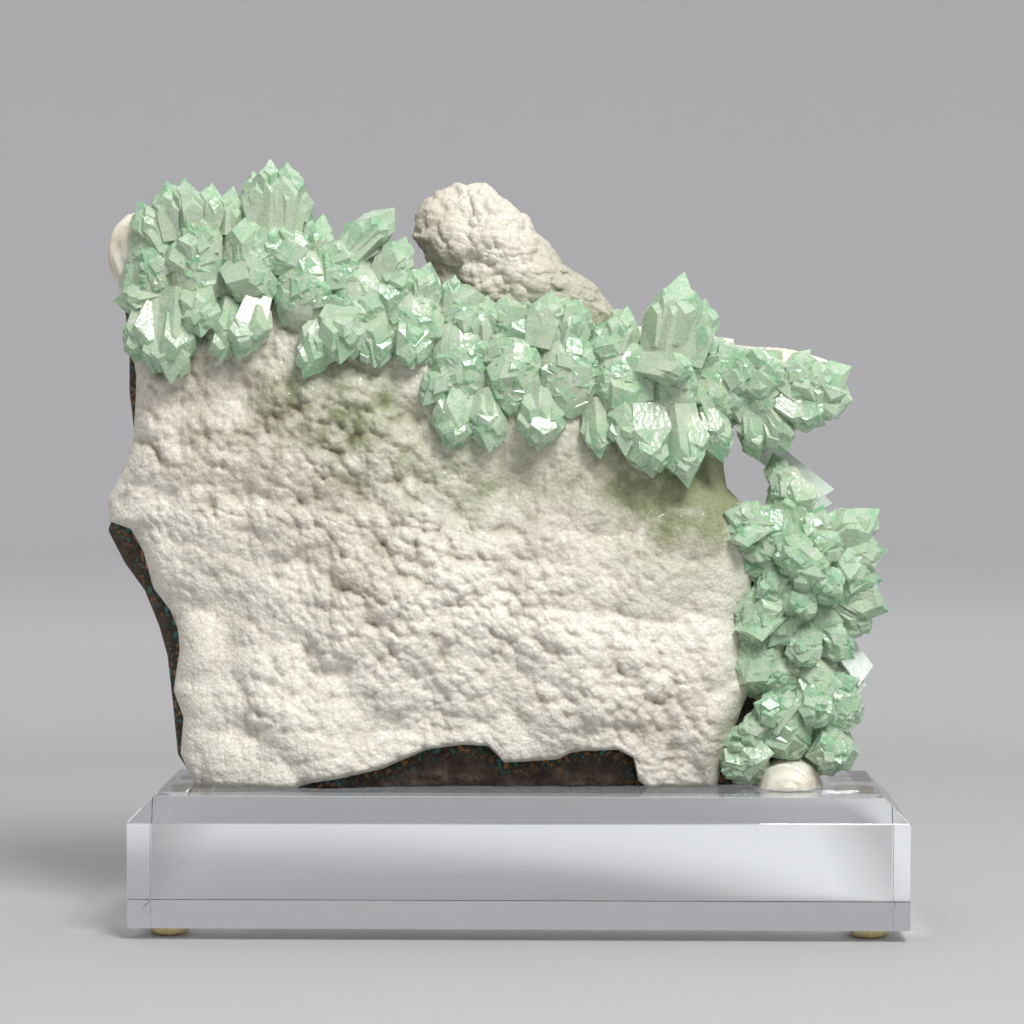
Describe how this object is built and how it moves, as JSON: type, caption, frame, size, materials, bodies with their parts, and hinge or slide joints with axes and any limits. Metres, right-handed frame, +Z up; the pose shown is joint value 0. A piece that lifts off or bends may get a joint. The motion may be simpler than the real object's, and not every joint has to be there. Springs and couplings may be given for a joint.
{
  "type": "apophyllite cluster on stand",
  "caption": "Green apophyllite crystals on a white drusy crust over a basalt slab, fixed upright on a clear acrylic display block with rubber feet.",
  "frame": {"origin": "on the floor under the middle of the bounding box", "axes": "+Z up, -Y towards the viewer of the crystal face, +X to that viewer's right, along the block"},
  "size_m": [0.2395, 0.0762, 0.2295],
  "materials": {
    "clear_acrylic": "clear and polished",
    "bumper_rubber": "soft, slightly clear, yellowed",
    "basalt": "rough broken rock",
    "drusy_crust": "fine sparkling druse",
    "apophyllite_green": "glassy faces with cloudy inside",
    "cream_zeolite": "waxy",
    "pale_crystal": "glassy"
  },
  "bodies": {
    "root": {"acrylic_base": "clear_acrylic", "rubber_foot_front_left": "bumper_rubber", "rubber_foot_front_right": "bumper_rubber", "rubber_foot_back_left": "bumper_rubber", "rubber_foot_back_right": "bumper_rubber", "basalt_matrix": "basalt", "white_crust": "drusy_crust", "apophyllite_band": "apophyllite_green", "apophyllite_spray": "apophyllite_green", "cream_lump_left": "cream_zeolite", "cream_ledge_arm": "cream_zeolite", "cream_mound": "cream_zeolite", "pale_prisms_upper": "pale_crystal", "pale_prisms_lower": "pale_crystal"}
  },
  "joints": []
}
